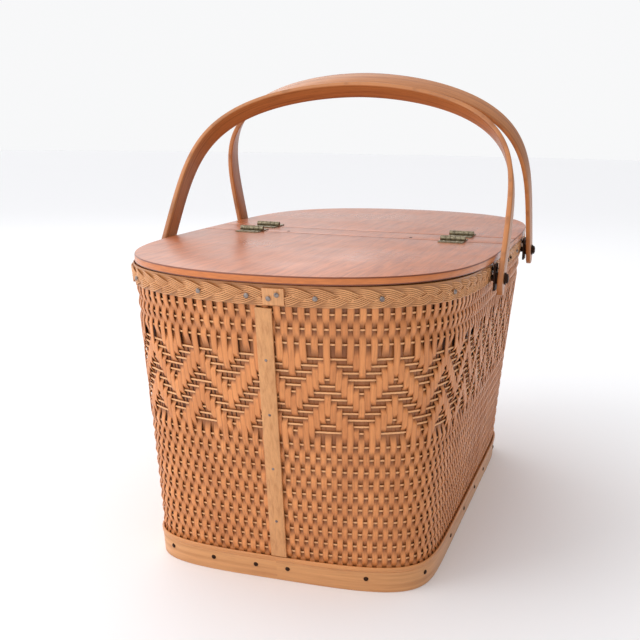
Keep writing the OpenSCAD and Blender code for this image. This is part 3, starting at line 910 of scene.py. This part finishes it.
class BASKET_OT_handles(bpy.types.Operator):
    """Bend the two bows from rounded strips, with the grain along them"""

    bl_idname = "basket.handles"
    bl_label = "Handles"

    cuts = 199

    def execute(self, context):
        handles = context.scene.basket.handles
        wood = plank(
            "bow_varnish", handles.bow_tint, handles.bow_deep, handles.gloss, (8, 420, 420), "grain",
            coat=0.15,
        )
        for side in ("front", "rear"):
            self.add_bow(side, handles, wood.material)
        return {"FINISHED"}

    def add_bow(self, side, handles, wood):
        node = f"{side}_handle_bow"
        low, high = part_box(node)
        pivot = Vector(joint(f"{side}_handle_pivot")["pos_m"])
        thickness = high.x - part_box("inner_washers")[1].x - 0.3 * MM
        width = handles.width
        facing = -1 if pivot.y < 0 else 1
        crown_y = high.y - pivot.y if facing < 0 else pivot.y - low.y
        lean, reach = self.lean_and_reach(crown_y, high.z - pivot.z, width)
        half = high.x
        rise = np.sin(np.linspace(0, pi / 2, 1200))
        across = half * np.clip(1 - rise ** BOW_SQUARENESS[1], 0, 1) ** (1 / BOW_SQUARENESS[0])
        leg = np.array([[half, -handles.end_drop - width / 2], [half, -1e-4]])
        right = np.concatenate([leg, np.stack([across, reach * rise], 1)])
        line = np.concatenate([right, right[-2::-1] * (-1, 1)])
        along = np.concatenate([[0], np.cumsum(np.linalg.norm(np.diff(line, axis=0), axis=1))])
        slope = np.gradient(line, along, axis=0)
        inward = np.stack([-slope[:, 1], slope[:, 0]], 1)
        inward /= np.linalg.norm(inward, axis=1, keepdims=True)

        bm = flat_bar(along[-1], -width / 2, width / 2, 0, thickness, handles.edge_round, self.cuts)
        grain_map(bm, lambda place: (place.x, place.y))
        round_end = width / 2

        def bow(places):
            x = places[:, 0]
            from_end = np.minimum(x, along[-1] - x)
            taper = np.sqrt(np.clip(1 - np.clip(1 - from_end / round_end, 0, 1) ** 2, 0.0004, 1))

            def read(values):
                return np.interp(x, along, values)

            return np.stack([
                read(line[:, 0]) + places[:, 2] * read(inward[:, 0]),
                places[:, 1] * taper,
                read(line[:, 1]) + places[:, 2] * read(inward[:, 1]),
            ], 1)

        bend(bm, bow)
        bmesh.ops.recalc_face_normals(bm, faces=bm.faces)
        bmesh.ops.rotate(bm, verts=bm.verts, matrix=Matrix.Rotation(facing * lean, 3, "X"))
        bmesh.ops.translate(bm, verts=bm.verts, vec=(0, pivot.y, pivot.z))
        add_piece(f"bent_{side}_bow", bm, [wood], [node], body=f"{side}_handle", crease=60)

    @staticmethod
    def lean_and_reach(crown_y, crown_z, width):
        """Lean and reach of a bow whose crown's two edges lie that far along and above its pivot."""
        lean = 0.5
        for _ in range(20):
            lean = atan2(crown_y, crown_z) - asin(width / 2 * cos(2 * lean) / hypot(crown_y, crown_z))
        return lean, (crown_z - width / 2 * sin(lean)) / cos(lean)


# Metal -------------------------------------------------------------------------------------


class BASKET_OT_metalwork(bpy.types.Operator):
    """Give the hinges, plates, bolts, tacks and nails their metal finishes"""

    bl_idname = "basket.metalwork"
    bl_label = "Metalwork"

    def execute(self, context):
        metals = context.scene.basket.metal
        brass = metal("hinge_brass", metals.brass_tint, metals.brass_stain, 0.3, 0.55).material
        steel = metal("tack_steel", metals.steel_tint, metals.rust_tint, 0.35, 0.4).material
        deep = shaded(metals.rust_tint, 0.4)
        dark = metal("dark_steel", metals.rust_tint, deep, 0.4, 0.5).material
        bright = {"batten_pins", "braid_tacks"}
        for name, node in frame["nodes"].items():
            if node.hide_render:
                continue
            if "leaf" in name or "hinge_pin" in name:
                self.coat(node, brass)
            elif name in bright:
                self.coat(node, steel)
            else:
                self.coat(node, dark)
        return {"FINISHED"}

    @staticmethod
    def coat(node, finish):
        for place in node.material_slots:
            place.material = finish
        if not node.material_slots:
            node.data.materials.append(finish)


# Stage -------------------------------------------------------------------------------------

SKY_LEAN = (-0.9, -0.3, 0.5)  # the surroundings brighten in this direction
SKY_SPAN = (("From Min", -0.9), ("From Max", 0.8), ("To Min", 0.2), ("To Max", 1.45))


class BASKET_OT_stage(bpy.types.Operator):
    """Set the pale floor, the soft lights and the camera"""

    bl_idname = "basket.stage"
    bl_label = "Stage"

    def execute(self, context):
        stage = context.scene.basket.stage
        self.add_floor(stage)
        self.add_world(context.scene, stage)
        self.add_light("key", (-1.5, -1.3, 1.7), 1.5, stage.key_power)
        self.add_light("rim", (-0.9, 1.6, 1.5), 1.2, stage.key_power * 0.4)
        self.add_camera(context.scene, stage)
        context.scene.view_settings.view_transform = "Standard"
        return {"FINISHED"}

    def add_floor(self, stage):
        bm = bmesh.new()
        bmesh.ops.create_circle(bm, cap_ends=True, segments=96, radius=9)
        floor = Finish("floor_paper", Roughness=0.7, Specular_IOR_Level=0.2)
        floor.shader.inputs["Base Color"].default_value = (*stage.floor_tint, 1)
        mesh = bpy.data.meshes.new("floor")
        bm.to_mesh(mesh)
        bm.free()
        mesh.materials.append(floor.material)
        piece = bpy.data.objects.new("floor", mesh)
        bpy.context.scene.collection.objects.link(piece)

    def add_world(self, scene, stage):
        """White surroundings that light the basket from the front left more than from the right."""
        world = bpy.data.worlds.new("white_studio")
        world.use_nodes = True
        tree = world.node_tree
        sky = tree.nodes["Background"]
        sky.inputs["Color"].default_value = (0.99, 0.993, 1, 1)
        direction = tree.nodes.new("ShaderNodeTexCoord").outputs["Generated"]
        lean = tree.nodes.new("ShaderNodeVectorMath")
        lean.operation = "DOT_PRODUCT"
        lean.inputs[1].default_value = SKY_LEAN
        tree.links.new(direction, lean.inputs[0])
        light = tree.nodes.new("ShaderNodeMapRange")
        for name, value in SKY_SPAN:
            light.inputs[name].default_value = value
        tree.links.new(lean.outputs["Value"], light.inputs["Value"])
        seen = tree.nodes.new("ShaderNodeLightPath").outputs["Is Camera Ray"]
        strength = tree.nodes.new("ShaderNodeMix")
        strength.inputs["B"].default_value = stage.backdrop
        tree.links.new(seen, strength.inputs["Factor"])
        tree.links.new(light.outputs["Result"], strength.inputs["A"])
        scaled = tree.nodes.new("ShaderNodeMath")
        scaled.operation = "MULTIPLY"
        scaled.inputs[1].default_value = stage.sky
        tree.links.new(strength.outputs["Result"], scaled.inputs[0])
        tree.links.new(scaled.outputs["Value"], sky.inputs["Strength"])
        scene.world = world

    def add_light(self, name, place, size, power):
        lamp = bpy.data.lights.new(name, "AREA")
        lamp.size = size
        lamp.energy = power
        light = bpy.data.objects.new(name, lamp)
        light.location = place
        light.rotation_mode = "QUATERNION"
        light.rotation_quaternion = (Vector((0, 0, 0.15)) - Vector(place)).to_track_quat("-Z", "Y")
        bpy.context.scene.collection.objects.link(light)

    def add_camera(self, scene, stage):
        lens = bpy.data.cameras.new("camera")
        lens.lens = stage.camera_lens
        lens.clip_start = 0.02
        camera = bpy.data.objects.new("camera", lens)
        turn = Matrix.Rotation(stage.camera_turn, 4, "Z")
        dip = Matrix.Rotation(pi / 2 - stage.camera_dip, 4, "X")
        roll = Matrix.Rotation(stage.camera_roll, 4, "Z")
        camera.matrix_world = Matrix.Translation(stage.camera_place) @ turn @ dip @ roll
        scene.collection.objects.link(camera)
        scene.camera = camera


OPERATORS = (
    BASKET_OT_splints,
    BASKET_OT_cords,
    BASKET_OT_foot,
    BASKET_OT_hoops,
    BASKET_OT_plait,
    BASKET_OT_battens,
    BASKET_OT_lid,
    BASKET_OT_handles,
    BASKET_OT_metalwork,
    BASKET_OT_stage,
)


class BASKET_PT_panel(bpy.types.Panel):
    bl_idname = "BASKET_PT_panel"
    bl_label = "Picnic Basket"
    bl_space_type = "VIEW_3D"
    bl_region_type = "UI"
    bl_category = "Basket"

    def draw(self, context):
        column = self.layout.column(align=True)
        for operator in OPERATORS:
            column.operator(operator.bl_idname)
        settings = context.scene.basket
        for group in ("weave", "trim", "lid", "handles", "metal", "stage"):
            box = self.layout.box()
            box.label(text=group.capitalize())
            values = getattr(settings, group)
            for name in values.__annotations__:
                box.prop(values, name)


CLASSES = (
    WeaveSettings,
    TrimSettings,
    LidSettings,
    HandleSettings,
    MetalSettings,
    StageSettings,
    BasketSettings,
    *OPERATORS,
    BASKET_PT_panel,
)


def register():
    for cls in CLASSES:
        bpy.utils.register_class(cls)
    bpy.types.Scene.basket = bpy.props.PointerProperty(type=BasketSettings)


def unregister():
    del bpy.types.Scene.basket
    for cls in reversed(CLASSES):
        bpy.utils.unregister_class(cls)


def main():
    register()
    for operator in OPERATORS:
        family, name = operator.bl_idname.split(".")
        getattr(getattr(bpy.ops, family), name)()


if __name__ == "__main__":
    main()
